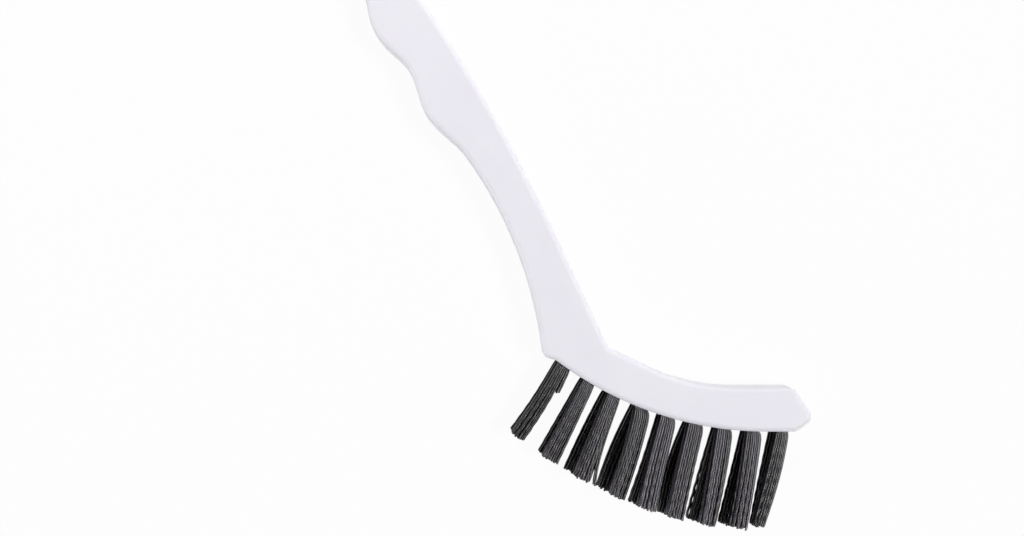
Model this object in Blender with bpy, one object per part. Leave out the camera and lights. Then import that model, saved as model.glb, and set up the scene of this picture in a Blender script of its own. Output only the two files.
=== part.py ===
"""Grout brush: a moulded handle with a curved head, and two rows of stapled nylon tufts.

The brush lies on its side. X runs along the grip towards the head, Y across the grip with
the bristles on its negative side, and Z through the thickness. Lengths are in metres and
angles in degrees. A run is a distance along an edge, and a heading is an angle from X.
"""

import math
import random

import bmesh
import bpy
from mathutils import Matrix, Vector
from mathutils.geometry import delaunay_2d_cdt

# Drilled holes of the head
HOLE_DIAMETER = 0.0044
HOLE_DEPTH = 0.0075
SIDE_WALL = 0.00135  # plastic between a hole and the flat side beside it
ROW_WALL = 0.0012  # plastic between the two rows
TUFT_WALL = 0.0026  # plastic between neighbouring holes of a row
TUFTS_PER_ROW = 9
TOE_MARGIN = 0.0035  # last hole's centre to the toe's lower corner
HEEL_REACH = 0.0052  # first hole's centre to the heel's corner, along the face
HEEL_LIP = 0.0011  # how far that corner stands out from the face

# Head
HEAD_ANGLE = 60.0  # the toe points this far up from the grip's line
HEAD_FLOOR = 0.0031  # plastic behind the holes at the toe
FACE_FLAT = 0.0069  # straight stretch of the face at the toe
FACE_RADIUS = 0.084
BACK_FLAT = 0.0245  # straight back of the head, from the toe to its corner
BACK_SLOPE = 25.4  # turn of the head's back at that corner
BACK_ROUNDING = 0.056
NOSE_REACH = 0.0045  # the nose stands this far ahead of the toe's lower corner
NOSE_RISE = 0.0026  # and this far above it
TOE_SETBACK = 0.0005  # the toe's upper corner lies this far behind the lower one
TOE_ROUNDING = 0.0013
NOSE_ROUNDING = 0.0021
CROWN_ROUNDING = 0.002
HEEL_ROUNDING = 0.0047
BEND_ROUNDING = 0.003

# Neck and grip, with runs counted along the back from the bend between head and grip
FOOT_DEPTH = 0.0148  # the heel's corner lies this far below the bend
NECK_DEPTH = 0.0062  # the neck's narrowest point lies this far below the bend
NECK_RUN = 0.047
NECK_END_RUN = 0.0593
NECK_ROUNDING = 0.005
BACK_TILT = 4.85
BACK_STRAIGHT = 0.031
GRIP_RADIUS = 0.4
FIRST_BUMP_RUN = 0.071
FINGER_PITCH = 0.0245
FINGER_GROOVES = 3
BUMP_WIDTH = 0.0145
FIRST_GROOVE_WIDTH = 0.0114
GROOVE_WIDTH = 0.0089
FINGER_ROUNDING = 0.0136
BUTT_LENGTH = 0.016  # last bump to the end of the grip
BUTT_WIDTH = 0.0135
BUTT_ROUNDING = 0.0062
EDGE_RADIUS = 0.001  # rounding of every edge around the flat sides
HANG_HOLE_DIAMETER = 0.0065
HANG_HOLE_SETBACK = 0.008
HANG_HOLE_CHAMFER = 0.0005

# Tufts
CLEARANCE = 0.0003  # between a plug or an anchor and the plastic around it
BRISTLES_AT_HEEL = 0.0202
BRISTLES_AT_TOE = 0.0232
TIP_BELLY = 0.0018  # how far the trim bows out between the two, most of it near the toe
RAKE_AT_HEEL = -3.5  # lean of the first tuft towards the heel, from square to the face
RAKE_AT_TOE = 12.5
RAKE_POWER = 3
PLUG_RECESS = 0.0005  # the bound part of a tuft ends this far inside its hole
STRAND_RINGS = 2
STRANDS_PER_RING = 6  # in the first ring, and as many more in each ring around it
STRAND_RADIUS = 0.00028
STRAND_MARGIN = 0.00005
STRAND_SIDES = 3
STRAND_STEPS = 2
SPLAY = 1.45  # a tuft's width at its tips over its width at the hole
BOW = 0.0003  # sideways bow of a tuft, half way along
TIP_SCATTER = 0.00012  # most that a strand's tip strays sideways
RAGGED_TIPS = 0.0004  # most that a strand falls short of the trim
SEED = 9

# Anchors, the flat wire that holds each folded tuft down in its hole
ANCHOR_HEIGHT = 0.002
ANCHOR_THICKNESS = 0.0004
ANCHOR_BITE = 0.0003  # how far each end reaches into the hole's wall
FOLD_HEIGHT = 0.001  # folded filaments under the anchor

# Fineness of the curves
ARC_TOLERANCE = 0.00003
ROUNDING_SHARE = 0.98  # most of its room along a side that a rounding takes up
SMOOTH_ANGLE = 35.0  # edges sharper than this stay sharp when shaded
HOLE_SIDES = 16
PLUG_SIDES = 12
HANG_HOLE_SIDES = 24
EDGE_STEPS = 3
OVERSHOOT = 0.002  # cutters stand out this far past the face that they cut
MERGE_DISTANCE = 0.0000001  # points closer than this are one

HOLE_RADIUS = HOLE_DIAMETER / 2
PLUG_RADIUS = HOLE_RADIUS - CLEARANCE
ROW_SPACING = HOLE_DIAMETER + ROW_WALL
THICKNESS = ROW_SPACING + HOLE_DIAMETER + 2 * SIDE_WALL
TUFT_PITCH = HOLE_DIAMETER + TUFT_WALL
HEAD_DEPTH = HOLE_DEPTH + HEAD_FLOOR
FIRST_TUFT_RUN = TOE_MARGIN + (TUFTS_PER_ROW - 1) * TUFT_PITCH
ANCHOR_LENGTH = HOLE_DIAMETER + 2 * ANCHOR_BITE
ANCHOR_LEVEL = -HOLE_DEPTH + FOLD_HEIGHT + 2 * CLEARANCE + ANCHOR_HEIGHT / 2
OUT_HEADING = math.radians(HEAD_ANGLE - 90)
TOE_HEADING = math.radians(HEAD_ANGLE)
ROWS = {"front": THICKNESS / 2 + ROW_SPACING / 2, "rear": THICKNESS / 2 - ROW_SPACING / 2}


def polar(heading, length=1.0):
    return Vector((math.cos(heading), math.sin(heading))) * length


def arc_steps(radius, angle):
    """How many chords keep an arc within ARC_TOLERANCE, and at least two."""
    chord = 2 * math.acos(max(1 - ARC_TOLERANCE / radius, 0))
    return max(2, math.ceil(abs(angle) / chord))


def face_at(run):
    """Point of the drilled face, counted from the toe's lower corner, and its outward heading."""
    bend = max(run - FACE_FLAT, 0) / FACE_RADIUS
    centre = -polar(TOE_HEADING, min(run, FACE_FLAT)) - polar(OUT_HEADING, FACE_RADIUS)
    heading = OUT_HEADING - bend
    return centre + polar(heading, FACE_RADIUS), heading


def heel_corner():
    point, heading = face_at(FIRST_TUFT_RUN)
    return point + polar(heading - math.pi / 2, HEEL_REACH) + polar(heading, HEEL_LIP)


def back_corner():
    """Where the head's straight back would meet the slope behind it."""
    along = polar(TOE_HEADING, -TOE_SETBACK - BACK_FLAT)
    return along - polar(OUT_HEADING, HEAD_DEPTH)


def bend_corner():
    """The inner corner between head and grip, on the slope and level with the grip's line."""
    level = heel_corner().y + FOOT_DEPTH
    slope = polar(TOE_HEADING - math.radians(BACK_SLOPE))
    start = back_corner()
    return start + slope * ((level - start.y) / slope.y)


def grip_at(run, depth):
    """A point at a run along the grip's back and at a depth below that back."""
    tilt = math.radians(BACK_TILT)
    up = math.pi / 2 - tilt
    start = bend_corner() + polar(math.pi - tilt, min(run, BACK_STRAIGHT))
    centre = start - polar(up, GRIP_RADIUS)
    turn = max(run - BACK_STRAIGHT, 0) / GRIP_RADIUS
    return centre + polar(up + turn, GRIP_RADIUS - depth)


def butt_run():
    return FIRST_BUMP_RUN + FINGER_GROOVES * FINGER_PITCH + BUTT_LENGTH


def head_corners():
    """Corners and their roundings, from the bend over the back to the toe's lower corner."""
    crown = -polar(TOE_HEADING, TOE_SETBACK) - polar(OUT_HEADING, HEAD_DEPTH)
    nose = polar(TOE_HEADING, NOSE_REACH) - polar(OUT_HEADING, NOSE_RISE)
    return [
        (bend_corner(), BEND_ROUNDING),
        (back_corner(), BACK_ROUNDING),
        (crown, CROWN_ROUNDING),
        (nose, NOSE_ROUNDING),
        (Vector((0, 0)), TOE_ROUNDING),
    ]


def face_corners():
    """The face from its flat stretch to the rim of the first hole, then the heel's corner."""
    end = FIRST_TUFT_RUN + HOLE_RADIUS
    steps = arc_steps(FACE_RADIUS, (end - FACE_FLAT) / FACE_RADIUS)
    runs = [FACE_FLAT + (end - FACE_FLAT) * i / steps for i in range(steps + 1)]
    return [(face_at(run)[0], 0) for run in runs] + [(heel_corner(), HEEL_ROUNDING)]


def neck_corners():
    """The neck's hollow front, an arc from the heel's corner to where the fingers begin."""
    heel, bend = heel_corner(), bend_corner()
    narrow = Vector((bend.x - NECK_RUN, bend.y - NECK_DEPTH))
    reach, drop = heel.x - narrow.x, narrow.y - heel.y
    radius = (reach**2 + drop**2) / (2 * drop)
    centre = narrow - Vector((0, radius))
    first = math.acos(reach / radius)
    last = math.acos((bend.x - NECK_END_RUN - narrow.x) / radius)
    steps = arc_steps(radius, last - first)
    arc = [centre + polar(first + (last - first) * i / steps, radius) for i in range(1, steps)]
    end = centre + polar(last, radius)
    return [(point, 0) for point in arc] + [(end, NECK_ROUNDING)]


def finger_corners():
    """Bumps and grooves in turn, then the two corners of the grip's end."""
    corners = []
    for i in range(FINGER_GROOVES + 1):
        run = FIRST_BUMP_RUN + i * FINGER_PITCH
        corners.append((grip_at(run, BUMP_WIDTH), FINGER_ROUNDING))
        if i < FINGER_GROOVES:
            width = GROOVE_WIDTH if i else FIRST_GROOVE_WIDTH
            corners.append((grip_at(run + FINGER_PITCH / 2, width), FINGER_ROUNDING))
    corners.append((grip_at(butt_run(), BUTT_WIDTH), BUTT_ROUNDING))
    corners.append((grip_at(butt_run(), 0), BUTT_ROUNDING))
    return corners


def back_points():
    """The grip's long curved back, from the butt's rounding to the straight by the bend."""
    start, end = butt_run() - 2 * BUTT_ROUNDING, BACK_STRAIGHT
    steps = arc_steps(GRIP_RADIUS, (start - end) / GRIP_RADIUS)
    runs = [start + (end - start) * i / steps for i in range(steps + 1)]
    return [(grip_at(run, 0), 0) for run in runs]


def rounded(corners):
    """A closed outline through corners, each rounded as far as its two sides leave room."""
    points = []
    for i, (corner, radius) in enumerate(corners):
        before, before_radius = corners[i - 1]
        after, after_radius = corners[(i + 1) % len(corners)]
        if not radius:
            points.append(corner)
            continue
        back, ahead = before - corner, after - corner
        half = back.angle(ahead) / 2
        room = min(
            back.length / (2 if before_radius else 1),
            ahead.length / (2 if after_radius else 1),
        )
        tangent = min(radius / math.tan(half), ROUNDING_SHARE * room)
        radius = tangent * math.tan(half)
        centre = corner + (back.normalized() + ahead.normalized()).normalized() * (
            radius / math.sin(half)
        )
        first = corner + back.normalized() * tangent - centre
        last = corner + ahead.normalized() * tangent - centre
        turn = first.angle_signed(last)
        steps = arc_steps(radius, turn)
        points += [centre + Matrix.Rotation(-turn * k / steps, 2) @ first for k in range(steps + 1)]
    return points


def handle_outline():
    return rounded(
        head_corners() + face_corners() + neck_corners() + finger_corners() + back_points()
    )


def inset(points, distance):
    """A closed clockwise outline moved inwards, with its corners mitred."""
    moved = []
    for i, point in enumerate(points):
        ahead = (points[(i + 1) % len(points)] - point).normalized()
        behind = (point - points[i - 1]).normalized()
        normals = [Vector((side.y, -side.x)) for side in (behind, ahead)]
        middle = normals[0] + normals[1]
        moved.append(point + middle * (distance / (1 + normals[0].dot(normals[1]))))
    return moved


def edge_profile():
    """Inset and height of each ring of the handle's side, from the lower face to the upper."""
    angles = [math.pi / 2 * i / EDGE_STEPS for i in range(EDGE_STEPS + 1)]
    lower = [
        (EDGE_RADIUS * (1 - math.sin(a)), EDGE_RADIUS * (1 - math.cos(a))) for a in angles
    ]
    upper = [(step, THICKNESS - height) for step, height in reversed(lower)]
    return lower + upper


def material(name, color, roughness, metallic=0.0):
    made = bpy.data.materials.new(name)
    made.use_nodes = True
    shader = made.node_tree.nodes["Principled BSDF"]
    shader.inputs["Base Color"].default_value = (*color, 1)
    shader.inputs["Roughness"].default_value = roughness
    shader.inputs["Metallic"].default_value = metallic
    return made


def add_object(name, bm, parent, finish=None, matrix=None):
    """Turns a bmesh into a named object under the parent, shaded smooth across soft edges."""
    bmesh.ops.recalc_face_normals(bm, faces=bm.faces)
    mesh = bpy.data.meshes.new(name)
    bm.to_mesh(mesh)
    bm.free()
    mesh.shade_smooth()
    mesh.set_sharp_from_angle(angle=math.radians(SMOOTH_ANGLE))
    if finish:
        mesh.materials.append(finish)
    made = bpy.data.objects.new(name, mesh)
    bpy.context.collection.objects.link(made)
    made.parent = parent
    if matrix:
        made.matrix_local = matrix
    return made


def hide_cutter(cutter):
    cutter.hide_render = True
    cutter.display_type = "WIRE"


def cut(target, cutter):
    modifier = target.modifiers.new(cutter.name, "BOOLEAN")
    modifier.operation = "DIFFERENCE"
    modifier.solver = "EXACT"
    modifier.object = cutter


def row_share(place):
    """How far along its row a tuft stands, from 0 at the heel to 1 at the toe."""
    return place / max(TUFTS_PER_ROW - 1, 1)


def rake(place):
    """Lean of a tuft towards the heel, from square to the face, in radians."""
    gain = (RAKE_AT_TOE - RAKE_AT_HEEL) * row_share(place) ** RAKE_POWER
    return math.radians(RAKE_AT_HEEL + gain)


def tuft_places():
    """Each tuft's name, its place in its row from 0 at the heel, and its matrix.

    The matrix has its origin at the hole's mouth, Z out along the bristles, X towards the
    toe and Y up through the thickness.
    """
    places = []
    for row, height in ROWS.items():
        for place in range(TUFTS_PER_ROW):
            point, heading = face_at(FIRST_TUFT_RUN - place * TUFT_PITCH)
            heading -= rake(place)
            out, toe = polar(heading), polar(heading + math.pi / 2)
            turn = Matrix(((toe.x, 0, out.x), (toe.y, 0, out.y), (0, 1, 0))).to_4x4()
            matrix = Matrix.Translation((*point, height)) @ turn
            places.append((f"{row}_{place + 1}", place, matrix))
    return places


def build_handle(parent):
    bm = bmesh.new()
    outline = handle_outline()
    rings = []
    for step, height in edge_profile():
        rings.append([bm.verts.new((*point, height)) for point in inset(outline, step)])
    for lower, upper in zip(rings, rings[1:]):
        for i in range(len(lower)):
            bm.faces.new((lower[i - 1], lower[i], upper[i], upper[i - 1]))
    bm.faces.new(rings[0])
    bm.faces.new(rings[-1])
    return add_object("handle", bm, parent, material("polypropylene", (0.82, 0.79, 0.88), 0.42))


def build_hole_cutter(parent, places):
    """All the blind holes for the tufts, each standing out of its mouth."""
    bm = bmesh.new()
    for _, _, matrix in places:
        bmesh.ops.create_cone(
            bm,
            cap_ends=True,
            segments=HOLE_SIDES,
            radius1=HOLE_RADIUS,
            radius2=HOLE_RADIUS,
            depth=HOLE_DEPTH + OVERSHOOT,
            matrix=matrix @ Matrix.Translation((0, 0, (OVERSHOOT - HOLE_DEPTH) / 2)),
        )
    return add_object("tuft_holes", bm, parent)


def build_slot_cutter(parent, places):
    """The space around each anchor, cut from the handle and from the tuft alike."""
    bm = bmesh.new()
    size = (ANCHOR_LENGTH, ANCHOR_THICKNESS, ANCHOR_HEIGHT)
    size = Vector([side + 2 * CLEARANCE for side in size])
    for _, _, matrix in places:
        local = Matrix.Translation((0, 0, ANCHOR_LEVEL)) @ Matrix.Diagonal((*size, 1))
        bmesh.ops.create_cube(bm, size=1, matrix=matrix @ local)
    return add_object("anchor_slots", bm, parent)


def build_hang_cutter(parent):
    """A hole through the butt with a chamfer at each of its mouths."""
    bm = bmesh.new()
    centre = grip_at(butt_run() - HANG_HOLE_SETBACK, BUTT_WIDTH / 2)
    radius = HANG_HOLE_DIAMETER / 2
    wide = radius + HANG_HOLE_CHAMFER + OVERSHOOT
    profile = [
        (wide, -OVERSHOOT),
        (radius, HANG_HOLE_CHAMFER),
        (radius, THICKNESS - HANG_HOLE_CHAMFER),
        (wide, THICKNESS + OVERSHOOT),
    ]
    rings = []
    for reach, height in profile:
        around = [2 * math.pi * i / HANG_HOLE_SIDES for i in range(HANG_HOLE_SIDES)]
        rings.append([bm.verts.new((*(centre + polar(a, reach)), height)) for a in around])
    for lower, upper in zip(rings, rings[1:]):
        for i in range(HANG_HOLE_SIDES):
            bm.faces.new((lower[i - 1], lower[i], upper[i], upper[i - 1]))
    bm.faces.new(rings[0])
    bm.faces.new(rings[-1])
    return add_object("hang_hole", bm, parent)


def build_anchor(name, matrix, parent, finish):
    bm = bmesh.new()
    size = Matrix.Diagonal((ANCHOR_LENGTH, ANCHOR_THICKNESS, ANCHOR_HEIGHT, 1))
    bmesh.ops.create_cube(bm, size=1, matrix=size)
    place = matrix @ Matrix.Translation((0, 0, ANCHOR_LEVEL))
    return add_object(f"anchor_{name}", bm, parent, finish, place)


def bristle_length(place):
    """From a hole's mouth to the trim, along the middle of the tuft."""
    share = row_share(place)
    straight = BRISTLES_AT_HEEL + (BRISTLES_AT_TOE - BRISTLES_AT_HEEL) * share
    return straight + TIP_BELLY * share * math.sin(math.pi * share)


def strand_feet():
    """Where the strands of a tuft stand: one in the middle and rings around it."""
    outermost = PLUG_RADIUS - STRAND_RADIUS - STRAND_MARGIN
    feet = [Vector((0, 0))]
    for ring in range(1, STRAND_RINGS + 1):
        count = ring * STRANDS_PER_RING
        for k in range(count):
            feet.append(polar(2 * math.pi * k / count, outermost * ring / STRAND_RINGS))
    return feet


def polygon(sides, radius, turn=0.0):
    return [polar(turn + 2 * math.pi * i / sides, radius) for i in range(sides)]


def build_tuft(name, place, matrix, parent, finish):
    """A plug in the hole, with strands that rise from its outer end and fan out to the trim."""
    draw = random.Random(f"{SEED}-{name}")
    length = bristle_length(place)
    bm = bmesh.new()
    rim = polygon(PLUG_SIDES, PLUG_RADIUS)
    feet = strand_feet()
    flat = list(rim)
    loops = [list(range(PLUG_SIDES))]
    for foot in feet:
        loops.append(list(range(len(flat), len(flat) + STRAND_SIDES)))
        turn = draw.uniform(0, 2 * math.pi)
        flat += [foot + corner for corner in polygon(STRAND_SIDES, STRAND_RADIUS, turn)]
    filled = delaunay_2d_cdt(flat, [], loops, 1, MERGE_DISTANCE)
    spots, _, faces, sources, _, origins = filled
    made = [bm.verts.new((*spot, -PLUG_RECESS)) for spot in spots]
    top = {source: vert for vert, given in zip(made, sources) for source in given}
    for face, origin in zip(faces, origins):
        if max(origin) == 0:
            bm.faces.new([made[i] for i in face])
    bottom = [bm.verts.new((*point, CLEARANCE - HOLE_DEPTH)) for point in rim]
    bm.faces.new(bottom)
    for i in range(PLUG_SIDES):
        ahead = (i + 1) % PLUG_SIDES
        bm.faces.new((bottom[i], bottom[ahead], top[ahead], top[i]))
    bow = polar(draw.uniform(0, 2 * math.pi), BOW)
    for foot, loop in zip(feet, loops[1:]):
        scatter = polar(draw.uniform(0, 2 * math.pi), draw.uniform(0, TIP_SCATTER))
        end = foot * SPLAY + scatter
        trim = length + draw.uniform(-RAGGED_TIPS, 0) + end.x * math.tan(rake(place))
        ring = [top[i] for i in loop]
        for step in range(1, STRAND_STEPS + 1):
            part = step / STRAND_STEPS
            shift = foot.lerp(end, part**2) + bow * math.sin(math.pi * part) - foot
            height = part * (trim + PLUG_RECESS)
            above = [bm.verts.new(top[i].co + Vector((*shift, height))) for i in loop]
            for k in range(STRAND_SIDES):
                bm.faces.new((ring[k - 1], ring[k], above[k], above[k - 1]))
            ring = above
        bm.faces.new(ring)
    return add_object(f"tuft_{name}", bm, parent, finish, matrix)


def centre_on_origin(parent, parts):
    """Moves the parent so that the parts' box stands on the origin."""
    bpy.context.view_layer.update()
    graph = bpy.context.evaluated_depsgraph_get()
    corners = []
    for part in parts:
        shape = part.evaluated_get(graph)
        corners += [shape.matrix_world @ Vector(corner) for corner in shape.bound_box]
    low = [min(corner[axis] for corner in corners) for axis in range(3)]
    high = [max(corner[axis] for corner in corners) for axis in range(3)]
    parent.location = (-(low[0] + high[0]) / 2, -(low[1] + high[1]) / 2, -low[2])


def main():
    for old in list(bpy.data.objects):
        bpy.data.objects.remove(old)
    brush = bpy.data.objects.new("brush", None)
    bpy.context.collection.objects.link(brush)
    nylon = material("black_nylon", (0.018, 0.017, 0.02), 0.38)
    steel = material("anchor_steel", (0.6, 0.58, 0.55), 0.35, 1.0)

    places = tuft_places()
    handle = build_handle(brush)
    holes = build_hole_cutter(brush, places)
    slots = build_slot_cutter(brush, places)
    hang = build_hang_cutter(brush)
    for cutter in (holes, slots, hang):
        hide_cutter(cutter)
        cut(handle, cutter)

    parts = [handle]
    for name, place, matrix in places:
        tuft = build_tuft(name, place, matrix, brush, nylon)
        cut(tuft, slots)
        parts += [tuft, build_anchor(name, matrix, brush, steel)]
    centre_on_origin(brush, parts)


main()
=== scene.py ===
import math
import random

import bmesh
import bpy
import numpy as np
from mathutils import Matrix, Vector


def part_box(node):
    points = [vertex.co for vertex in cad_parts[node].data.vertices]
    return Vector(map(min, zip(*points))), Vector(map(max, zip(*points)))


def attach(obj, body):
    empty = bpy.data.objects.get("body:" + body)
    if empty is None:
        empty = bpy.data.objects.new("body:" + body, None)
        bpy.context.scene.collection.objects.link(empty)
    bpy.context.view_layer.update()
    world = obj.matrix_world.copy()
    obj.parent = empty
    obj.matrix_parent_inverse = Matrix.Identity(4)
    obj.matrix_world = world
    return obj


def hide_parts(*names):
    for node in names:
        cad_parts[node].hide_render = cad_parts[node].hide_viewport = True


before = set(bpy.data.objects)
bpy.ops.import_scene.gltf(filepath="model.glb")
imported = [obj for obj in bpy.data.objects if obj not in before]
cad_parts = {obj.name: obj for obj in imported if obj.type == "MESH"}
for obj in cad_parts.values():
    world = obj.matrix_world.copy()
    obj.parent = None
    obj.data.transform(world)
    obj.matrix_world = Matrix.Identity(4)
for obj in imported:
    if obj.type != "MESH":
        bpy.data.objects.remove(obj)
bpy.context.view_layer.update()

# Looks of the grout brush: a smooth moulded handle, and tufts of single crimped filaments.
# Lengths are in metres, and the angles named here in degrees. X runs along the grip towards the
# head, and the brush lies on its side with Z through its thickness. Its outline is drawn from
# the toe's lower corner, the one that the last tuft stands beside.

# Head, as in the part's own source
HOLE_DIAMETER = 0.0044
HOLE_DEPTH = 0.0075
SIDE_WALL = 0.00135  # plastic between a hole and the flat side beside it
ROW_WALL = 0.0012  # plastic between the two rows
TUFT_WALL = 0.0026  # plastic between neighbouring holes of a row
TUFTS_PER_ROW = 9
TOE_MARGIN = 0.0035  # last hole's centre to the toe's lower corner
HEEL_REACH = 0.0052  # first hole's centre to the heel's corner, along the face
HEEL_LIP = 0.0011  # how far that corner stands out from the face
HEAD_ANGLE = 60.0  # the toe points this far up from the grip's line
HEAD_FLOOR = 0.0031  # plastic behind the holes at the toe
FACE_FLAT = 0.0069  # straight stretch of the face at the toe
FACE_RADIUS = 0.084
BACK_FLAT = 0.0245  # straight back of the head, from the toe to its corner
BACK_SLOPE = 25.4  # turn of the head's back at that corner
BACK_ROUNDING = 0.056
NOSE_REACH = 0.0045  # the nose stands this far ahead of the toe's lower corner
NOSE_RISE = 0.0032  # and this far above it: 0.6 mm more than there, as in the photo
TOE_SETBACK = 0.0005  # the toe's upper corner lies this far behind the lower one
TOE_ROUNDING = 0.0016  # a little more than there, to clear the rounding of the edges
NOSE_ROUNDING = 0.0021
CROWN_ROUNDING = 0.002
HEEL_ROUNDING = 0.0047
BEND_ROUNDING = 0.003

# Neck and grip, as in the part's own source
FOOT_DEPTH = 0.0148  # the heel's corner lies this far below the bend behind the head
NECK_DEPTH = 0.0062  # the neck's narrowest point lies this far below the bend
NECK_RUN = 0.047  # and this far along the grip's line from it
NECK_END_RUN = 0.0593  # the neck's hollow ends this far along that line
NECK_ROUNDING = 0.005
BACK_TILT = 4.85  # the grip's back rises this steeply behind the bend
BACK_STRAIGHT = 0.031  # for this length, and then it curves down
GRIP_RADIUS = 0.4
FIRST_BUMP_RUN = 0.071  # bend to the first bump, along the back
FINGER_PITCH = 0.0245
FINGER_GROOVES = 3
BUMP_WIDTH = 0.0145  # of the grip, as are those below, before its corners are rounded
FIRST_GROOVE_WIDTH = 0.0114
GROOVE_WIDTH = 0.0089
FINGER_ROUNDING = 0.0136
BUTT_LENGTH = 0.016  # last bump to the end of the grip
BUTT_WIDTH = 0.0135
BUTT_ROUNDING = 0.0062
HANG_HOLE_DIAMETER = 0.0065
HANG_HOLE_SETBACK = 0.008

# Anchors and tufts, as in the part's own source
CLEARANCE = 0.0003  # between an anchor and the plastic around it
ANCHOR_HEIGHT = 0.002
ANCHOR_THICKNESS = 0.0004
ANCHOR_BITE = 0.0003  # how far each end reaches into the hole's wall
FOLD_HEIGHT = 0.001  # room for the folded filaments under the anchor
BRISTLES_AT_HEEL = 0.0205  # 0.3 mm more than there, as in the photo
BRISTLES_AT_TOE = 0.0232
RAKE_AT_HEEL = -3.5  # lean of the first tuft towards the heel, from square to the face
RAKE_AT_TOE = 12.5
RAKE_POWER = 3

HOLE_RADIUS = HOLE_DIAMETER / 2
ROW_SPACING = HOLE_DIAMETER + ROW_WALL
THICKNESS = ROW_SPACING + HOLE_DIAMETER + 2 * SIDE_WALL
TUFT_PITCH = HOLE_DIAMETER + TUFT_WALL
HEAD_DEPTH = HOLE_DEPTH + HEAD_FLOOR
FIRST_TUFT_RUN = TOE_MARGIN + (TUFTS_PER_ROW - 1) * TUFT_PITCH
ANCHOR_FOOT = -HOLE_DEPTH + FOLD_HEIGHT + 2 * CLEARANCE
ANCHOR_LEVEL = ANCHOR_FOOT + ANCHOR_HEIGHT / 2
ANCHOR_LENGTH = HOLE_DIAMETER + 2 * ANCHOR_BITE
OUT_HEADING = math.radians(HEAD_ANGLE - 90)
TOE_HEADING = math.radians(HEAD_ANGLE)
ROWS = {"front": THICKNESS / 2 + ROW_SPACING / 2, "rear": THICKNESS / 2 - ROW_SPACING / 2}

# Surface of the moulding
ARC_TOLERANCE = 0.000003  # most that a chord of a curve cuts it short
ROUNDING_SHARE = 0.98  # most of its room along a side that a rounding takes up
EDGE_RADIUS = 0.0013
EDGE_STEPS = 8
DRAFT = 0.4  # taper of the side walls towards both flat faces
PARTING_RIDGE = 0.00004  # height of the mould's parting line
PARTING_WIDTH = 0.00016
HOLE_SIDES = 48
DRILL_POINT = 0.0006  # depth of the cone at the bottom of a hole
DRILL_TIP_RADIUS = HOLE_RADIUS / 8
HANG_HOLE_ROUNDING = 0.0007
HANG_HOLE_SIDES = 72
OVERSHOOT = 0.002  # cutters stand out this far past the face that they cut
SMOOTH_ANGLE = 20.0  # edges of the moulding sharper than this stay sharp when shaded
LEVEL_TOLERANCE = 0.000001  # corners this near to a flat side's height belong to it

# Filaments
FILAMENT_RADIUS = 0.00025
FILAMENT_PITCH = 0.00092  # between neighbours in one layer of the bundle
LAYER_PITCH = 0.00027  # from a layer to the next, which lies half a pitch aside
BUNDLE_RADIUS = 0.00191  # of the outermost filaments' middles at the hole's mouth
RADIUS_SPREAD = 0.05  # most by which a filament is thicker or thinner, as a share
FILAMENT_SIDES = 6
OUTER_STEPS = 54  # along either leg of a filament, from its hole's mouth to its tip
INNER_STEPS = 4  # from the mouth down to the anchor's foot
FOLD_STEPS = 7  # around the anchor's foot
FOLD_SQUEEZE = 0.44  # a fold's depth over its half width
BLOOM = 0.1  # share by which a tuft widens just outside its hole
BLOOM_LENGTH = 0.0008
SPREAD_ACROSS = 1.16  # a tuft's width through the thickness at its tips over that at the hole
TIP_BELLY = 0.0018  # how far the trimmed tips bow out beyond a straight line from heel to toe
REAR_LONGER = 0.0011  # how much longer the rear row is than the front one, at the toe
FLATTEN = 0.8  # how far a tuft's round section turns square outside its hole
FLATTEN_BY = 0.35  # share of its length that this takes
CRIMP_AT_HEEL = 0.00006  # height of the filaments' waves, in the first tuft
CRIMP_AT_TOE = 0.00011  # and in the last
CRIMP_PITCH = 0.0031
CRIMP_AT_FACE = 0.25  # share of the crimp that shows where a tuft leaves its hole
CRIMP_ONSET_STEPS = 4  # steps over which the crimp sets in, so that a leg meets its fold
CALM_SIDES = 0.5  # share of its crimp that a filament at either side of a tuft has lost
SQUARED = 0.5  # how far the narrower layers of a round tuft spread out to its full width
TIP_WANDER = 0.00022  # most that a tip strays sideways
RAGGED_TIPS = 0.00035  # most that a tip stands past its tuft's trim, or falls short of it
REAR_PAINTED_SHADE = 0.05  # painted shade: how light the rear row's filaments get, as a share of the front row's, darker for the front row's shadow on them
CAP_ANGLE = 80.0  # the cut ends of the filaments are sharper than this
SEED = 9

# Painted light and shade: how light the filaments of each pair of tufts get, from heel to toe, as
# shares of the lightest, after how brightly each tuft catches the lamps
TUFT_PAINTED_LIGHT = (0.1, 0.45, 0.5, 0.5, 1.0, 0.75, 1.0, 0.85, 0.25)

# Columns of the photo at each tuft's tips, from heel to toe: where the rear tuft begins, where
# the front tuft begins, and where both end
TIP_COLUMNS = (
    (510.0, 510.5, 526.9),
    (538.0, 541.5, 558.2),
    (563.7, 573.0, 590.5),
    (595.0, 609.0, 624.7),
    (627.2, 636.0, 656.2),
    (656.0, 665.0, 683.7),
    (685.5, 699.0, 715.5),
    (717.0, 729.0, 747.2),
    (749.7, 752.5, 764.6),
)
REAR_COVER = 6.0  # columns by which a front tuft reaches past its rear one

# Columns by which each pair of tufts bulges half way along: the rear one and the front one on
# the heel's side, and both on the toe's side
BULGES = (
    (-1.5, -1.5, 2),
    (0, -0.5, 0),
    (1, 0, 0),
    (3.2, -2, 1.5),
    (-1, 1, -0.5),
    (4.5, 0, -0.5),
    (0.5, 0, 1.5),
    (0, -1, 0.5),
    (1, 0, 2.5),
)

# Columns by which each pair of tufts leans out over the toe's side of its holes' rims
FLARES = (0, 0, 0, 4.5, 2.5, 2, 2, 2.5, 0.5)

# Shares of its width by which each tuft is drawn to its toe side at its hole, rear and front
PINCHES = (
    (0.07, 0.07),
    (0.19, 0.19),
    (0, 0.14),
    (0.16, 0.2),
    (0.12, 0.1),
    (0.08, 0.1),
    (0.12, 0.12),
    (0.15, 0.15),
    (0.15, 0.2),
)

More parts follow.
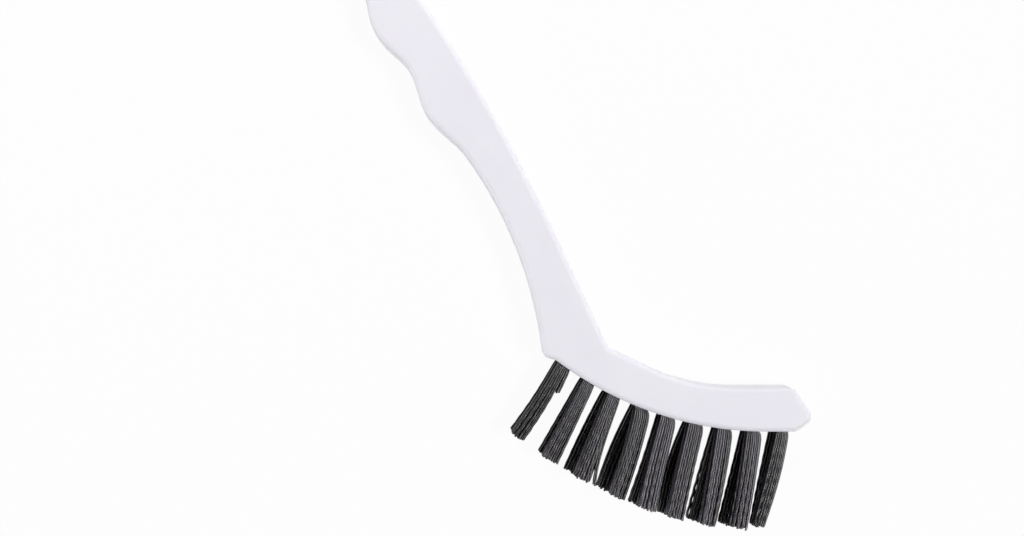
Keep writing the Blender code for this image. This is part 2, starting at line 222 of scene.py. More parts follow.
# Filaments that spring away on the toe's side of their tuft, near their tips. By the tuft's
# place in the front row, counted from 0 at the heel: the columns of the photo where they end
STRAYS = {2: (592.8, 595.0)}
STRAY_SIDE = 0.0011  # they leave their hole at least this far from its axis
STRAY_POWER = 4  # the higher, the nearer to their tips they turn away

# The first pair of tufts has lost its filaments on the toe's side, down to short stumps
STUMP_SIDE = 0.0013  # they leave their hole further than this from its axis
STUMP_LENGTH = 0.0063
STUMP_SPLAY = 0.0008  # how far aside they would lean at the length of a whole filament

# Photograph and camera
IMAGE_WIDTH, IMAGE_HEIGHT = 1024, 536
PIXEL = 0.00024  # size of a photo pixel on the brush's upper side
TOE_PIXEL = Vector((797.0, 432.4))  # where the photo shows the toe's lower corner
PHOTO_TURN = 60.0  # the photo's right hand side lies this far round from X
CAMERA_HEIGHT = 0.35  # above the upper side
SENSOR_WIDTH = 36.0  # in millimetres, as Blender's lenses are

# Materials. A noise is given by its scale, in ripples to a metre, and by its detail, and a
# bump by its strength and its depth.
NO_STRETCH = (1, 1, 1)
NOISE_RANGE = (0.3, 0.7)  # where most of a noise's values lie
PLASTIC_TINTS = ((0.835, 0.82, 0.885), (0.86, 0.85, 0.905))
PLASTIC_ROUGHNESS = (0.38, 0.5)
PLASTIC_SPECULAR = 0.4
PLASTIC_SUBSURFACE = 0.08
PLASTIC_SUBSURFACE_DEPTH = 0.002
MOTTLE_NOISE = (55, 3)
PATCH_NOISE = (240, 3)
RIPPLE_NOISE = (420, 1)
RIPPLE_BUMP = (0.25, 0.00003)
GRAIN_NOISE = (3800, 2)
GRAIN_BUMP = (0.3, 0.00001)
# From the filaments' own black up to a purple grey far lighter than black nylon, partly a painted
# highlight for their lit streaks
NYLON_TINTS = ((0.007, 0.0063, 0.0077), (0.144, 0.126, 0.156))
NYLON_ROUGHNESS = (0.34, 0.48)
NYLON_SPECULAR = 1.0
DRAWING_STRETCH = (1, 1, 0.08)  # makes the marks long along a filament
DRAWING_NOISE = (9000, 2)
DRAWING_BUMP = (0.35, 0.000012)
STEEL_TINTS = ((0.55, 0.53, 0.5), (0.65, 0.63, 0.6))
STEEL_ROUGHNESS = (0.28, 0.42)
ROLLING_STRETCH = (1, 1, 12)  # makes the lines narrow across the wire's thickness
ROLLING_NOISE = (1500, 3)
ROLLING_BUMP = (0.2, 0.00001)

# Studio
BACKGROUND = (1.0, 1.0, 1.0)
FLOOR_SIZE = 6.0
FLOOR_GAP = 0.0001  # from the floor up to the brush
FLOOR_TINTS = ((0.74, 0.74, 0.74), (0.7474, 0.7474, 0.7474))
FLOOR_ROUGHNESS = 0.9
FLOOR_SPECULAR = 0.1
FIBRE_NOISE = (700, 3)
BACKDROP_SHARE = 0.955  # how much of the floor's look is plain backdrop, without shadows
SKY_TOP = 0.03  # overhead strength of the sky, which is white around the horizon
SKY_WHITE_BELOW = 9.0  # elevation up to which it is white
SKY_FADED_ABOVE = 34.0  # elevation from which it gets no darker

# Lamps: the direction, counted from the photo's right hand side towards its top, then the
# elevation, the distance, the diameter and the power
LAMPS = {
    "key": (-8.0, 61.0, 5.0, 1.1, 163.0),
    "fill": (104.0, 36.0, 0.55, 0.4, 1.0),
    "rim": (202.0, 8.0, 2.0, 0.6, 10.0),
    "back": (115.0, 8.0, 2.0, 0.6, 3.0),
}


def polar(heading, length=1.0):
    return Vector((math.cos(heading), math.sin(heading))) * length


def arc_steps(radius, angle):
    """How many chords keep an arc within ARC_TOLERANCE, and at least two."""
    chord = 2 * math.acos(max(1 - ARC_TOLERANCE / radius, 0))
    return max(2, math.ceil(abs(angle) / chord))


def face_at(run):
    """Point of the drilled face, counted from the toe's lower corner, and its outward heading."""
    bend = max(run - FACE_FLAT, 0) / FACE_RADIUS
    centre = -polar(TOE_HEADING, min(run, FACE_FLAT)) - polar(OUT_HEADING, FACE_RADIUS)
    heading = OUT_HEADING - bend
    return centre + polar(heading, FACE_RADIUS), heading


def heel_corner():
    point, heading = face_at(FIRST_TUFT_RUN)
    return point + polar(heading - math.pi / 2, HEEL_REACH) + polar(heading, HEEL_LIP)


def back_corner():
    """Where the head's straight back would meet the slope behind it."""
    along = polar(TOE_HEADING, -TOE_SETBACK - BACK_FLAT)
    return along - polar(OUT_HEADING, HEAD_DEPTH)


def bend_corner():
    """The inner corner between head and grip, on the slope and level with the grip's line."""
    level = heel_corner().y + FOOT_DEPTH
    slope = polar(TOE_HEADING - math.radians(BACK_SLOPE))
    start = back_corner()
    return start + slope * ((level - start.y) / slope.y)


def grip_at(run, depth):
    """A point at a run along the grip's back and at a depth below that back."""
    tilt = math.radians(BACK_TILT)
    up = math.pi / 2 - tilt
    start = bend_corner() + polar(math.pi - tilt, min(run, BACK_STRAIGHT))
    centre = start - polar(up, GRIP_RADIUS)
    turn = max(run - BACK_STRAIGHT, 0) / GRIP_RADIUS
    return centre + polar(up + turn, GRIP_RADIUS - depth)


def butt_run():
    return FIRST_BUMP_RUN + FINGER_GROOVES * FINGER_PITCH + BUTT_LENGTH


def head_corners():
    """Corners and their roundings, from the bend over the back to the toe's lower corner."""
    crown = -polar(TOE_HEADING, TOE_SETBACK) - polar(OUT_HEADING, HEAD_DEPTH)
    nose = polar(TOE_HEADING, NOSE_REACH) - polar(OUT_HEADING, NOSE_RISE)
    return [
        (bend_corner(), BEND_ROUNDING),
        (back_corner(), BACK_ROUNDING),
        (crown, CROWN_ROUNDING),
        (nose, NOSE_ROUNDING),
        (Vector((0, 0)), TOE_ROUNDING),
    ]


def face_corners():
    """The face from its flat stretch to the rim of the first hole, then the heel's corner."""
    end = FIRST_TUFT_RUN + HOLE_RADIUS
    steps = arc_steps(FACE_RADIUS, (end - FACE_FLAT) / FACE_RADIUS)
    runs = [FACE_FLAT + (end - FACE_FLAT) * i / steps for i in range(steps + 1)]
    return [(face_at(run)[0], 0) for run in runs] + [(heel_corner(), HEEL_ROUNDING)]


def neck_corners():
    """The neck's hollow front, an arc from the heel's corner to where the fingers begin."""
    heel, bend = heel_corner(), bend_corner()
    narrow = Vector((bend.x - NECK_RUN, bend.y - NECK_DEPTH))
    reach, drop = heel.x - narrow.x, narrow.y - heel.y
    radius = (reach**2 + drop**2) / (2 * drop)
    centre = narrow - Vector((0, radius))
    first = math.acos(reach / radius)
    last = math.acos((bend.x - NECK_END_RUN - narrow.x) / radius)
    steps = arc_steps(radius, last - first)
    arc = [centre + polar(first + (last - first) * i / steps, radius) for i in range(1, steps)]
    end = centre + polar(last, radius)
    return [(point, 0) for point in arc] + [(end, NECK_ROUNDING)]


def finger_corners():
    """Bumps and grooves in turn, then the two corners of the grip's end."""
    corners = []
    for i in range(FINGER_GROOVES + 1):
        run = FIRST_BUMP_RUN + i * FINGER_PITCH
        corners.append((grip_at(run, BUMP_WIDTH), FINGER_ROUNDING))
        if i < FINGER_GROOVES:
            width = GROOVE_WIDTH if i else FIRST_GROOVE_WIDTH
            corners.append((grip_at(run + FINGER_PITCH / 2, width), FINGER_ROUNDING))
    corners.append((grip_at(butt_run(), BUTT_WIDTH), BUTT_ROUNDING))
    corners.append((grip_at(butt_run(), 0), BUTT_ROUNDING))
    return corners


def back_points():
    """The grip's long curved back, from the butt's rounding to the straight by the bend."""
    start, end = butt_run() - 2 * BUTT_ROUNDING, BACK_STRAIGHT
    steps = arc_steps(GRIP_RADIUS, (start - end) / GRIP_RADIUS)
    runs = [start + (end - start) * i / steps for i in range(steps + 1)]
    return [(grip_at(run, 0), 0) for run in runs]


def rounded(corners):
    """A closed outline through corners, each rounded as far as its two sides leave room."""
    points = []
    for i, (corner, radius) in enumerate(corners):
        before, before_radius = corners[i - 1]
        after, after_radius = corners[(i + 1) % len(corners)]
        if not radius:
            points.append(corner)
            continue
        back, ahead = before - corner, after - corner
        half = back.angle(ahead) / 2
        room = min(
            back.length / (2 if before_radius else 1),
            ahead.length / (2 if after_radius else 1),
        )
        tangent = min(radius / math.tan(half), ROUNDING_SHARE * room)
        radius = tangent * math.tan(half)
        middle = (back.normalized() + ahead.normalized()).normalized()
        centre = corner + middle * (radius / math.sin(half))
        first = corner + back.normalized() * tangent - centre
        last = corner + ahead.normalized() * tangent - centre
        turn = first.angle_signed(last)
        steps = arc_steps(radius, turn)
        for k in range(steps + 1):
            points.append(centre + Matrix.Rotation(-turn * k / steps, 2) @ first)
    return points


def handle_outline():
    return rounded(
        head_corners() + face_corners() + neck_corners() + finger_corners() + back_points()
    )


def inset(points, distance):
    """A closed clockwise outline moved inwards, with its corners mitred."""
    moved = []
    for i, point in enumerate(points):
        ahead = (points[(i + 1) % len(points)] - point).normalized()
        behind = (point - points[i - 1]).normalized()
        normals = [Vector((side.y, -side.x)) for side in (behind, ahead)]
        middle = normals[0] + normals[1]
        moved.append(point + middle * (distance / (1 + normals[0].dot(normals[1]))))
    return moved


def quarter_arc(radius):
    """Steps in from a wall, each with its height, along a rounding from a flat side to it."""
    angles = [math.pi / 2 * i / EDGE_STEPS for i in range(EDGE_STEPS + 1)]
    return [(radius * (1 - math.sin(a)), radius * (1 - math.cos(a))) for a in angles]


def edge_profile():
    """Inset and height of each ring around the moulding, from its lower face to its upper."""
    taper = math.tan(math.radians(DRAFT))
    lower = []
    for step, height in quarter_arc(EDGE_RADIUS):
        lower.append((step + (THICKNESS / 2 - height) * taper, height))
    lower.append((0, (THICKNESS - PARTING_WIDTH) / 2))
    upper = [(step, THICKNESS - height) for step, height in reversed(lower)]
    return lower + [(-PARTING_RIDGE, THICKNESS / 2)] + upper


def link(name, mesh, *finishes):
    """A mesh as a new object of the scene, with its materials."""
    made = bpy.data.objects.new(name, mesh)
    bpy.context.scene.collection.objects.link(made)
    for finish in finishes:
        mesh.materials.append(finish)
    return made


def from_bmesh(name, bm, *finishes):
    bmesh.ops.recalc_face_normals(bm, faces=bm.faces)
    mesh = bpy.data.meshes.new(name)
    bm.to_mesh(mesh)
    bm.free()
    return link(name, mesh, *finishes)


def bridged(bm, rings):
    """Closes a stack of rings of equal length with side walls and two caps."""
    made = [[bm.verts.new(point) for point in ring] for ring in rings]
    for lower, upper in zip(made, made[1:]):
        for i in range(len(lower)):
            bm.faces.new((lower[i - 1], lower[i], upper[i], upper[i - 1]))
    bm.faces.new(made[0])
    bm.faces.new(made[-1])


def turned(profile, sides, matrix):
    """Rings of a turned shape around a matrix's Z, from pairs of radius and height."""
    around = [2 * math.pi * i / sides for i in range(sides)]
    rings = []
    for radius, height in profile:
        rings.append([matrix @ Vector((*polar(a, radius), height)) for a in around])
    return rings


def row_share(place):
    """How far along its row a tuft stands, from 0 at the heel to 1 at the toe."""
    return place / (TUFTS_PER_ROW - 1)


def rake(place):
    """Lean of a tuft towards the heel, from square to the face, in radians."""
    gain = (RAKE_AT_TOE - RAKE_AT_HEEL) * row_share(place) ** RAKE_POWER
    return math.radians(RAKE_AT_HEEL + gain)


def tuft_places(shift):
    """Each tuft's row, its place in it from 0 at the heel, and its matrix.

    The matrix has its origin at the hole's mouth, Z out along the bristles, X towards the
    toe and Y up through the thickness.
    """
    places = []
    for row, height in ROWS.items():
        for place in range(TUFTS_PER_ROW):
            point, heading = face_at(FIRST_TUFT_RUN - place * TUFT_PITCH)
            heading -= rake(place)
            out, toe = polar(heading), polar(heading + math.pi / 2)
            turn = Matrix(((toe.x, 0, out.x), (toe.y, 0, out.y), (0, 1, 0))).to_4x4()
            matrix = Matrix.Translation((*(point + shift), height)) @ turn
            places.append((row, place, matrix))
    return places


def hole_cutter(places):
    """Drilled holes with a drill point, open past the mouth."""
    bm = bmesh.new()
    profile = [
        (DRILL_TIP_RADIUS, -HOLE_DEPTH),
        (HOLE_RADIUS, DRILL_POINT - HOLE_DEPTH),
        (HOLE_RADIUS, OVERSHOOT),
    ]
    for _, _, matrix in places:
        bridged(bm, turned(profile, HOLE_SIDES, matrix))
    return from_bmesh("hole_cutter", bm)


def slot_cutter(places):
    """The slots that the ends of the anchors have bitten into the plastic."""
    bm = bmesh.new()
    anchor = (ANCHOR_LENGTH, ANCHOR_THICKNESS, ANCHOR_HEIGHT)
    slot = [side + 2 * CLEARANCE for side in anchor]
    for _, _, matrix in places:
        local = Matrix.Translation((0, 0, ANCHOR_LEVEL)) @ Matrix.Diagonal((*slot, 1))
        bmesh.ops.create_cube(bm, size=1, matrix=matrix @ local)
    return from_bmesh("slot_cutter", bm)


def hang_cutter(shift):
    """The hole in the butt, with a rounding at each of its mouths."""
    centre = grip_at(butt_run() - HANG_HOLE_SETBACK, BUTT_WIDTH / 2) + shift
    radius = HANG_HOLE_DIAMETER / 2
    lower = [(radius + HANG_HOLE_ROUNDING, -OVERSHOOT)]
    for step, height in quarter_arc(HANG_HOLE_ROUNDING):
        lower.append((radius + step, height))
    upper = [(reach, THICKNESS - height) for reach, height in reversed(lower)]
    bm = bmesh.new()
    bridged(bm, turned(lower + upper, HANG_HOLE_SIDES, Matrix.Translation((*centre, 0))))
    return from_bmesh("hang_cutter", bm)


def carve(target, cutters):
    """Cuts shapes out of the target for good, and removes them."""
    for cutter in cutters:
        modifier = target.modifiers.new(cutter.name, "BOOLEAN")
        modifier.operation = "DIFFERENCE"
        modifier.solver = "EXACT"
        modifier.object = cutter
    graph = bpy.context.evaluated_depsgraph_get()
    carved = bpy.data.meshes.new_from_object(target.evaluated_get(graph))
    target.modifiers.clear()
    target.data = carved
    for cutter in cutters:
        bpy.data.objects.remove(cutter)


def level_sides(mesh):
    """Shades both flat sides evenly, out to where the roundings around them begin."""
    normals = [corner.vector.copy() for corner in mesh.corner_normals]
    for i, loop in enumerate(mesh.loops):
        height = mesh.vertices[loop.vertex_index].co.z
        if abs(height) < LEVEL_TOLERANCE:
            normals[i] = Vector((0, 0, -1))
        if abs(height - THICKNESS) < LEVEL_TOLERANCE:
            normals[i] = Vector((0, 0, 1))
    mesh.normals_split_custom_set(normals)


def build_handle(shift, places, finish):
    outline = handle_outline()
    rings = []
    for step, height in edge_profile():
        rings.append([(*(point + shift), height) for point in inset(outline, step)])
    bm = bmesh.new()
    bridged(bm, rings)
    handle = from_bmesh("moulded_handle", bm, finish)
    carve(handle, [hole_cutter(places), slot_cutter(places), hang_cutter(shift)])
    handle.data.shade_smooth()
    handle.data.set_sharp_from_angle(angle=math.radians(SMOOTH_ANGLE))
    level_sides(handle.data)
    return handle


def bundle_feet():
    """Where the folded filaments of a tuft leave their hole, on the upper half of its mouth."""
    feet = []
    for k in range(math.floor(BUNDLE_RADIUS / LAYER_PITCH + 0.5)):
        y = (k + 0.5) * LAYER_PITCH
        reach = math.sqrt(BUNDLE_RADIUS**2 - y**2)
        aside = FILAMENT_PITCH * (k % 2) / 2
        first = math.ceil((-reach - aside) / FILAMENT_PITCH)
        last = math.floor((reach - aside) / FILAMENT_PITCH)
        for i in range(first, last + 1):
            feet.append(Vector((i * FILAMENT_PITCH + aside, y)))
    return feet


def trim_at(row, place, x):
    """Height over the hole's mouth at which the tips of a tuft are cut, off its axis by x."""
    share = row_share(place + x / TUFT_PITCH)
    length = BRISTLES_AT_HEEL + (BRISTLES_AT_TOE - BRISTLES_AT_HEEL) * share
    if row == "rear":
        length += REAR_LONGER * share**2
    belly = TIP_BELLY * share * math.sin(math.pi * share)
    return length + belly + x * math.tan(rake(place))


def photo_axes():
    """World directions of the photo's right and of its top."""
    right = polar(math.radians(PHOTO_TURN))
    return right, polar(math.radians(PHOTO_TURN + 90))


def photo_centre(shift):
    """The point of the brush's upper side in the middle of the photo."""
    right, up = photo_axes()
    offset = Vector((IMAGE_WIDTH / 2, IMAGE_HEIGHT / 2)) - TOE_PIXEL
    return Vector((*(shift + (right * offset.x - up * offset.y) * PIXEL), THICKNESS))


def photo_column(point, centre):
    """The column of the photo that shows a point."""
    right, _ = photo_axes()
    scale = CAMERA_HEIGHT / (CAMERA_HEIGHT + THICKNESS - point.z)
    return IMAGE_WIDTH / 2 + (point - centre).xy.dot(right) * scale / PIXEL


def tip_offset(column, row, place, matrix, centre):
    """How far from its axis the trimmed end of a tuft meets a column of the photo."""
    ends = [Vector((x, 0, trim_at(row, place, x))) for x in (0, TUFT_PITCH)]
    low, high = [photo_column(matrix @ end, centre) for end in ends]
    return TUFT_PITCH * (column - low) / (high - low)


def tip_reach(row, place, matrix, centre):
    """Both ends of a tuft's row of tips, then the tips of its strays, from its axis."""
    rear, front, last = TIP_COLUMNS[place]
    columns = [front, last] if row == "front" else [rear, last - REAR_COVER]
    if row == "front":
        columns += STRAYS.get(place, ())
    return [tip_offset(column, row, place, matrix, centre) for column in columns]


def columns_across(foot, at_heel, at_toe):
    """A length in columns of the photo that changes from one side of a tuft to the other."""
    return np.interp(foot.x, (-BUNDLE_RADIUS, BUNDLE_RADIUS), (at_heel, at_toe)) * PIXEL


def crimp_heights(foot, place, share):
    """Height of a filament's waves, at shares of the way to its trimmed tip."""
    crimp = CRIMP_AT_HEEL + (CRIMP_AT_TOE - CRIMP_AT_HEEL) * row_share(place)
    crimp = crimp * (CRIMP_AT_FACE + (1 - CRIMP_AT_FACE) * share)
    crimp *= np.minimum(share * OUTER_STEPS / CRIMP_ONSET_STEPS, 1)
    return crimp * (1 - CALM_SIDES * (foot.x / BUNDLE_RADIUS) ** 2)


def outer_run(draw, foot, end_x, fling, row, place):
    """Points of one leg of a filament, from the hole's mouth to its tip.

    The leg heads for end_x off its tuft's axis, and near its tip it springs away by fling.
    """
    end_x += draw.uniform(-TIP_WANDER, TIP_WANDER)
    end_y = foot.y * SPREAD_ACROSS + draw.uniform(-TIP_WANDER, TIP_WANDER)
    trim = trim_at(row, place, end_x + fling) + draw.uniform(-RAGGED_TIPS, RAGGED_TIPS)
    reach = trim
    if place == 0 and foot.x > STUMP_SIDE:
        reach = STUMP_LENGTH + draw.uniform(-RAGGED_TIPS, RAGGED_TIPS)
        end_x += STUMP_SPLAY
    heights = np.linspace(0, reach, OUTER_STEPS + 1)
    share = heights / trim
    phase = draw.uniform(0, 2 * math.pi)
    plane = draw.uniform(0, math.pi)
    wave = crimp_heights(foot, place, share) * np.sin(2 * math.pi * heights / CRIMP_PITCH + phase)
    rear_side, front_side, toe_side = BULGES[place]
    bulge = columns_across(foot, -rear_side if row == "rear" else -front_side, toe_side)
    flare = columns_across(foot, 0, FLARES[place])
    square = (1 - FLATTEN * (foot.x / BUNDLE_RADIUS) ** 2) ** -0.5
    spread = (1 - np.exp(-heights / BLOOM_LENGTH)) * (1 - share)
    bloom = BLOOM * spread
    x = foot.x * (1 + bloom) + (end_x - foot.x) * share + wave * math.cos(plane)
    x += flare * spread + fling * share**STRAY_POWER
    x += bulge * np.sin(math.pi * share)
    y = foot.y * (1 + bloom) + (end_y - foot.y) * share + wave * math.sin(plane)
    y += foot.y * (square - 1) * np.minimum(share / FLATTEN_BY, 1)
    return np.stack((x, y, heights), axis=1)


def fold_run(foot):
    """Points of a folded filament inside its hole: down, around the anchor's foot and up."""
    inner = ANCHOR_THICKNESS / 2 + FILAMENT_RADIUS
    room = HOLE_RADIUS - FILAMENT_RADIUS - inner
    half = inner + room * foot.y / BUNDLE_RADIUS
    legs = np.linspace(0, 1, INNER_STEPS + 1)[1:]
    ease = legs * legs * (3 - 2 * legs)
    down = np.stack(
        (np.full(INNER_STEPS, foot.x), foot.y + (half - foot.y) * ease, ANCHOR_FOOT * legs), axis=1
    )
    angles = np.linspace(0, math.pi, FOLD_STEPS + 1)[1:-1]
    under = np.stack(
        (
            np.full(FOLD_STEPS - 1, foot.x),
            half * np.cos(angles),
            ANCHOR_FOOT - half * FOLD_SQUEEZE * np.sin(angles),
        ),
        axis=1,
    )
    up = down[::-1] * np.array((1, -1, 1))
    return np.concatenate((down, under, up))


def tube(path, radius):
    """Rings of a round filament along a path. No stretch of it runs along X."""
    tangent = np.gradient(path, axis=0)
    tangent /= np.linalg.norm(tangent, axis=1, keepdims=True)
    side = np.array((1.0, 0.0, 0.0)) - tangent * tangent[:, :1]
    side /= np.linalg.norm(side, axis=1, keepdims=True)
    other = np.cross(tangent, side)
    angles = 2 * math.pi * np.arange(FILAMENT_SIDES) / FILAMENT_SIDES
    spokes = np.cos(angles)[:, None] * side[:, None] + np.sin(angles)[:, None] * other[:, None]
    return path[:, None] + radius * spokes


def tube_faces(rings, start):
    """Side quads and both caps of a tube whose corners are numbered from start."""
    corner = start + np.arange(rings * FILAMENT_SIDES).reshape(rings, FILAMENT_SIDES)
    ahead = np.roll(corner, -1, axis=1)
    quads = np.stack((corner[:-1], ahead[:-1], ahead[1:], corner[1:]), axis=-1)
    caps = [corner[0, ::-1].tolist(), corner[-1].tolist()]
    return quads.reshape(-1, 4).tolist() + caps


def build_tuft(row, place, matrix, reach, finish):
    """A tuft of single filaments, each folded once around the anchor in its hole."""
    draw = random.Random(f"{SEED}-{row}-{place}")
    first, last, *strays = reach
    low, high = first + FILAMENT_RADIUS, last - FILAMENT_RADIUS
    rear_pinch, front_pinch = PINCHES[place]
    pinch = rear_pinch if row == "rear" else front_pinch
    corners, faces, tones = [], [], []
    for foot in bundle_feet():
        layer_reach = math.sqrt(BUNDLE_RADIUS**2 - foot.y**2)
        side = foot.x / (BUNDLE_RADIUS + SQUARED * (layer_reach - BUNDLE_RADIUS))
        end_x = low + (high - low) * (side + 1) / 2
        foot.x += pinch * (BUNDLE_RADIUS - foot.x)
        mirrored = Vector((foot.x, -foot.y))
        lower = outer_run(draw, mirrored, end_x, 0, row, place)
        fling = strays.pop() - end_x if strays and foot.x > STRAY_SIDE else 0
        upper = outer_run(draw, foot, end_x, fling, row, place)
        path = np.concatenate((upper[::-1], fold_run(foot), lower))
        radius = FILAMENT_RADIUS * (1 + draw.uniform(-RADIUS_SPREAD, RADIUS_SPREAD))
        faces += tube_faces(len(path), sum(len(part) for part in corners))
        corners.append(tube(path, radius).reshape(-1, 3))
        # A filament's tone differs at random, scaled by its tuft's painted light and, in the rear
        # row, by painted shade
        tone_with_painted_light = draw.random() * TUFT_PAINTED_LIGHT[place] * (REAR_PAINTED_SHADE if row == "rear" else 1)
        tones += [tone_with_painted_light] * (len(path) * FILAMENT_SIDES)
    mesh = bpy.data.meshes.new(f"filaments_{row}_{place + 1}")
    mesh.from_pydata(np.concatenate(corners).tolist(), [], faces)
    tone = mesh.attributes.new("tone", "FLOAT", "POINT")
    tone.data.foreach_set("value", tones)
    mesh.shade_smooth()
    mesh.set_sharp_from_angle(angle=math.radians(CAP_ANGLE))
    tuft = link(mesh.name, mesh, finish)
    tuft.matrix_world = matrix
    return tuft


class Nodes:
    """Short calls for building a material's or the world's node tree."""

    def __init__(self, owner):
        owner.use_nodes = True
        self.tree = owner.node_tree
        self.tree.nodes.clear()

    def add(self, kind, **settings):
        node = self.tree.nodes.new(kind)
        for name, value in settings.items():
            setattr(node, name, value)
        return node

    def join(self, source, target):
        self.tree.links.new(source, target)

    def texture_space(self, scale):
        """Object coordinates, with a scale along each axis."""
        place = self.add("ShaderNodeTexCoord")
        mapping = self.add("ShaderNodeMapping")
        mapping.inputs["Scale"].default_value = scale
        self.join(place.outputs["Object"], mapping.inputs["Vector"])
        return mapping.outputs["Vector"]

    def noise(self, vector, scale, detail):
        node = self.add("ShaderNodeTexNoise")
        node.inputs["Scale"].default_value = scale
        node.inputs["Detail"].default_value = detail
        self.join(vector, node.inputs["Vector"])
        return node.outputs["Fac"]

    def mapped(self, value, target, source=NOISE_RANGE):
        """A value from one range into another."""
        node = self.add("ShaderNodeMapRange")
        node.inputs["From Min"].default_value = source[0]
        node.inputs["From Max"].default_value = source[1]
        node.inputs["To Min"].default_value = target[0]
        node.inputs["To Max"].default_value = target[1]
        self.join(value, node.inputs["Value"])
        return node.outputs["Result"]

    def mixed(self, factor, colours):
        """A colour between two."""
        node = self.add("ShaderNodeMix", data_type="RGBA")
        node.inputs["A"].default_value = (*colours[0], 1)
        node.inputs["B"].default_value = (*colours[1], 1)
        self.join(factor, node.inputs["Factor"])
        return node.outputs["Result"]

    def bump(self, height, strength, distance, normal=None):
        """The normal of a relief, laid over another relief's normal if that is given."""
        node = self.add("ShaderNodeBump")
        node.inputs["Strength"].default_value = strength
        node.inputs["Distance"].default_value = distance
        self.join(height, node.inputs["Height"])
        if normal:
            self.join(normal, node.inputs["Normal"])
        return node.outputs["Normal"]

    def principled(self, **constants):
        """A shader that is joined to the material's output, with constants on its sockets."""
        shader = self.add("ShaderNodeBsdfPrincipled")
        for name, value in constants.items():
            shader.inputs[name.replace("_", " ")].default_value = value
        output = self.add("ShaderNodeOutputMaterial")
        self.join(shader.outputs["BSDF"], output.inputs["Surface"])
        return shader


def polypropylene():
    """Satin white plastic with a faint lavender cast, flow mottling and a fine mould texture."""
    made = bpy.data.materials.new("polypropylene")
    nodes = Nodes(made)
    space = nodes.texture_space(NO_STRETCH)
    shader = nodes.principled(
        Subsurface_Weight=PLASTIC_SUBSURFACE,
        Subsurface_Scale=PLASTIC_SUBSURFACE_DEPTH,
        Specular_IOR_Level=PLASTIC_SPECULAR,
    )
    mottle = nodes.noise(space, *MOTTLE_NOISE)
    tint = nodes.mixed(nodes.mapped(mottle, (0, 1)), PLASTIC_TINTS)
    nodes.join(tint, shader.inputs["Base Color"])
    patches = nodes.noise(space, *PATCH_NOISE)
    nodes.join(nodes.mapped(patches, PLASTIC_ROUGHNESS), shader.inputs["Roughness"])
    ripple = nodes.bump(nodes.noise(space, *RIPPLE_NOISE), *RIPPLE_BUMP)
    grain = nodes.bump(nodes.noise(space, *GRAIN_NOISE), *GRAIN_BUMP, ripple)
    nodes.join(grain, shader.inputs["Normal"])
    return made


def nylon():
    """Black crimped filament, each a little lighter or darker at random, with drawing marks along
    it. Its tone also carries painted light: lighter tufts for their sheen, and a darker rear row
    as painted shade.
    """
    made = bpy.data.materials.new("black_nylon")
    nodes = Nodes(made)
    shader = nodes.principled(Specular_IOR_Level=NYLON_SPECULAR)
    tone = nodes.add("ShaderNodeAttribute", attribute_name="tone")
    marks = nodes.noise(nodes.texture_space(DRAWING_STRETCH), *DRAWING_NOISE)
    tint = nodes.mixed(tone.outputs["Fac"], NYLON_TINTS)
    nodes.join(tint, shader.inputs["Base Color"])
    nodes.join(nodes.mapped(marks, NYLON_ROUGHNESS), shader.inputs["Roughness"])
    nodes.join(nodes.bump(marks, *DRAWING_BUMP), shader.inputs["Normal"])
    return made


def steel():
    """Flat rolled wire of the anchors, with fine lines along its edges."""
    made = bpy.data.materials.new("anchor_steel")
    nodes = Nodes(made)
    shader = nodes.principled(Metallic=1.0)
    lines = nodes.noise(nodes.texture_space(ROLLING_STRETCH), *ROLLING_NOISE)
    tint = nodes.mixed(nodes.mapped(lines, (0, 1)), STEEL_TINTS)
    nodes.join(tint, shader.inputs["Base Color"])
    nodes.join(nodes.mapped(lines, STEEL_ROUGHNESS), shader.inputs["Roughness"])
    nodes.join(nodes.bump(lines, *ROLLING_BUMP), shader.inputs["Normal"])
    return made


def seen_directly(nodes):
    """1 for what the camera sees, by itself or through gloss or glass, and 0 for other light."""
    path = nodes.add("ShaderNodeLightPath")
    factor = path.outputs["Is Camera Ray"]
    for name in ("Is Glossy Ray", "Is Transmission Ray"):
        either = nodes.add("ShaderNodeMath", operation="MAXIMUM")
        nodes.join(factor, either.inputs[0])
        nodes.join(path.outputs[name], either.inputs[1])
        factor = either.outputs["Value"]
    return factor


def paper():
    """Pale paper, which the camera sees as plain backdrop with the brush's faint shadow."""
    made = bpy.data.materials.new("paper")
    nodes = Nodes(made)
    shader = nodes.principled(Roughness=FLOOR_ROUGHNESS, Specular_IOR_Level=FLOOR_SPECULAR)
    fibres = nodes.noise(nodes.texture_space(NO_STRETCH), *FIBRE_NOISE)
    tint = nodes.mixed(nodes.mapped(fibres, (0, 1)), FLOOR_TINTS)
    nodes.join(tint, shader.inputs["Base Color"])
    glow = nodes.add("ShaderNodeEmission")
    glow.inputs["Color"].default_value = (*BACKGROUND, 1)
    share = nodes.add("ShaderNodeMath", operation="MULTIPLY")
    share.inputs[1].default_value = BACKDROP_SHARE
    nodes.join(seen_directly(nodes), share.inputs[0])
    blend = nodes.add("ShaderNodeMixShader")
    nodes.join(share.outputs["Value"], blend.inputs["Fac"])
    nodes.join(shader.outputs["BSDF"], blend.inputs[1])
    nodes.join(glow.outputs["Emission"], blend.inputs[2])
    output = next(node for node in nodes.tree.nodes if node.type == "OUTPUT_MATERIAL")
    nodes.join(blend.outputs["Shader"], output.inputs["Surface"])
    return made


def build_floor():
    bm = bmesh.new()
    bmesh.ops.create_grid(bm, x_segments=2, y_segments=2, size=FLOOR_SIZE / 2)
    floor = from_bmesh("floor", bm, paper())
    floor.location.z = -FLOOR_GAP


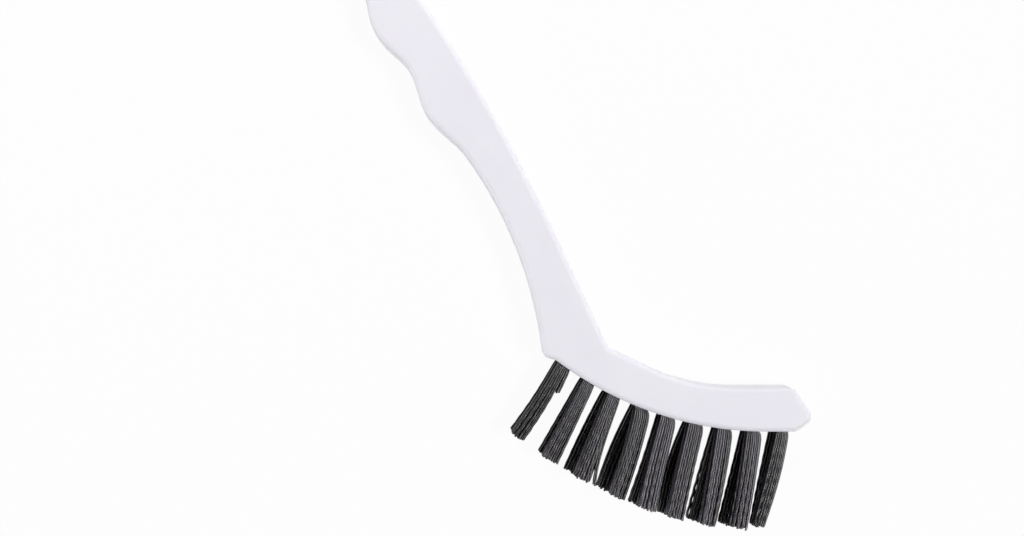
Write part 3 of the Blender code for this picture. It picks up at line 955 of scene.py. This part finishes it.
def build_world():
    """A sky that is white around the horizon and dimmer overhead."""
    world = bpy.data.worlds.new("studio")
    bpy.context.scene.world = world
    nodes = Nodes(world)
    way = nodes.add("ShaderNodeTexCoord")
    split = nodes.add("ShaderNodeSeparateXYZ")
    nodes.join(way.outputs["Generated"], split.inputs["Vector"])
    low = math.sin(math.radians(SKY_WHITE_BELOW))
    high = math.sin(math.radians(SKY_FADED_ABOVE))
    sky = nodes.add("ShaderNodeBackground")
    sky.inputs["Color"].default_value = (*BACKGROUND, 1)
    strength = nodes.mapped(split.outputs["Z"], (1, SKY_TOP), (low, high))
    nodes.join(strength, sky.inputs["Strength"])
    output = nodes.add("ShaderNodeOutputWorld")
    nodes.join(sky.outputs["Background"], output.inputs["Surface"])


def build_lamp(name, target):
    turn, elevation, distance, size, power = LAMPS[name]
    lamp = bpy.data.lights.new(name, "AREA")
    lamp.shape = "DISK"
    lamp.size = size
    lamp.energy = power
    made = bpy.data.objects.new(name, lamp)
    bpy.context.scene.collection.objects.link(made)
    height = math.radians(elevation)
    heading = polar(math.radians(PHOTO_TURN + turn), math.cos(height))
    away = Vector((*heading, math.sin(height)))
    made.location = target + away * distance
    made.rotation_euler = away.to_track_quat("Z", "Y").to_euler()


def build_camera(target):
    """Looks squarely down on the brush's upper side, turned as the photo is."""
    data = bpy.data.cameras.new("camera")
    data.sensor_width = SENSOR_WIDTH
    data.lens = SENSOR_WIDTH * CAMERA_HEIGHT / (IMAGE_WIDTH * PIXEL)
    camera = bpy.data.objects.new("camera", data)
    bpy.context.scene.collection.objects.link(camera)
    camera.location = target + Vector((0, 0, CAMERA_HEIGHT))
    camera.rotation_euler = (0, 0, math.radians(PHOTO_TURN))
    bpy.context.scene.camera = camera


def handle_shift():
    """Where the toe's lower corner, from which the outline is drawn, lies in the frame."""
    low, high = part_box("handle")
    points = handle_outline()
    shift = []
    for axis in (0, 1):
        along = [point[axis] for point in points]
        shift.append((low[axis] + high[axis]) / 2 - (min(along) + max(along)) / 2)
    return Vector(shift)


def main():
    shift = handle_shift()
    places = tuft_places(shift)
    handle = build_handle(shift, places, polypropylene())
    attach(handle, "root")
    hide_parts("handle")

    bristle = nylon()
    wire = steel()
    centre = photo_centre(shift)
    for row, place, matrix in places:
        reach = tip_reach(row, place, matrix, centre)
        tuft = build_tuft(row, place, matrix, reach, bristle)
        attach(tuft, "root")
        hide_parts(f"tuft_{row}_{place + 1}")
        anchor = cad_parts[f"anchor_{row}_{place + 1}"]
        anchor.data.materials.clear()
        anchor.data.materials.append(wire)

    build_floor()
    build_world()
    for name in LAMPS:
        build_lamp(name, centre)
    build_camera(centre)
    bpy.context.scene.view_settings.view_transform = "Standard"


main()
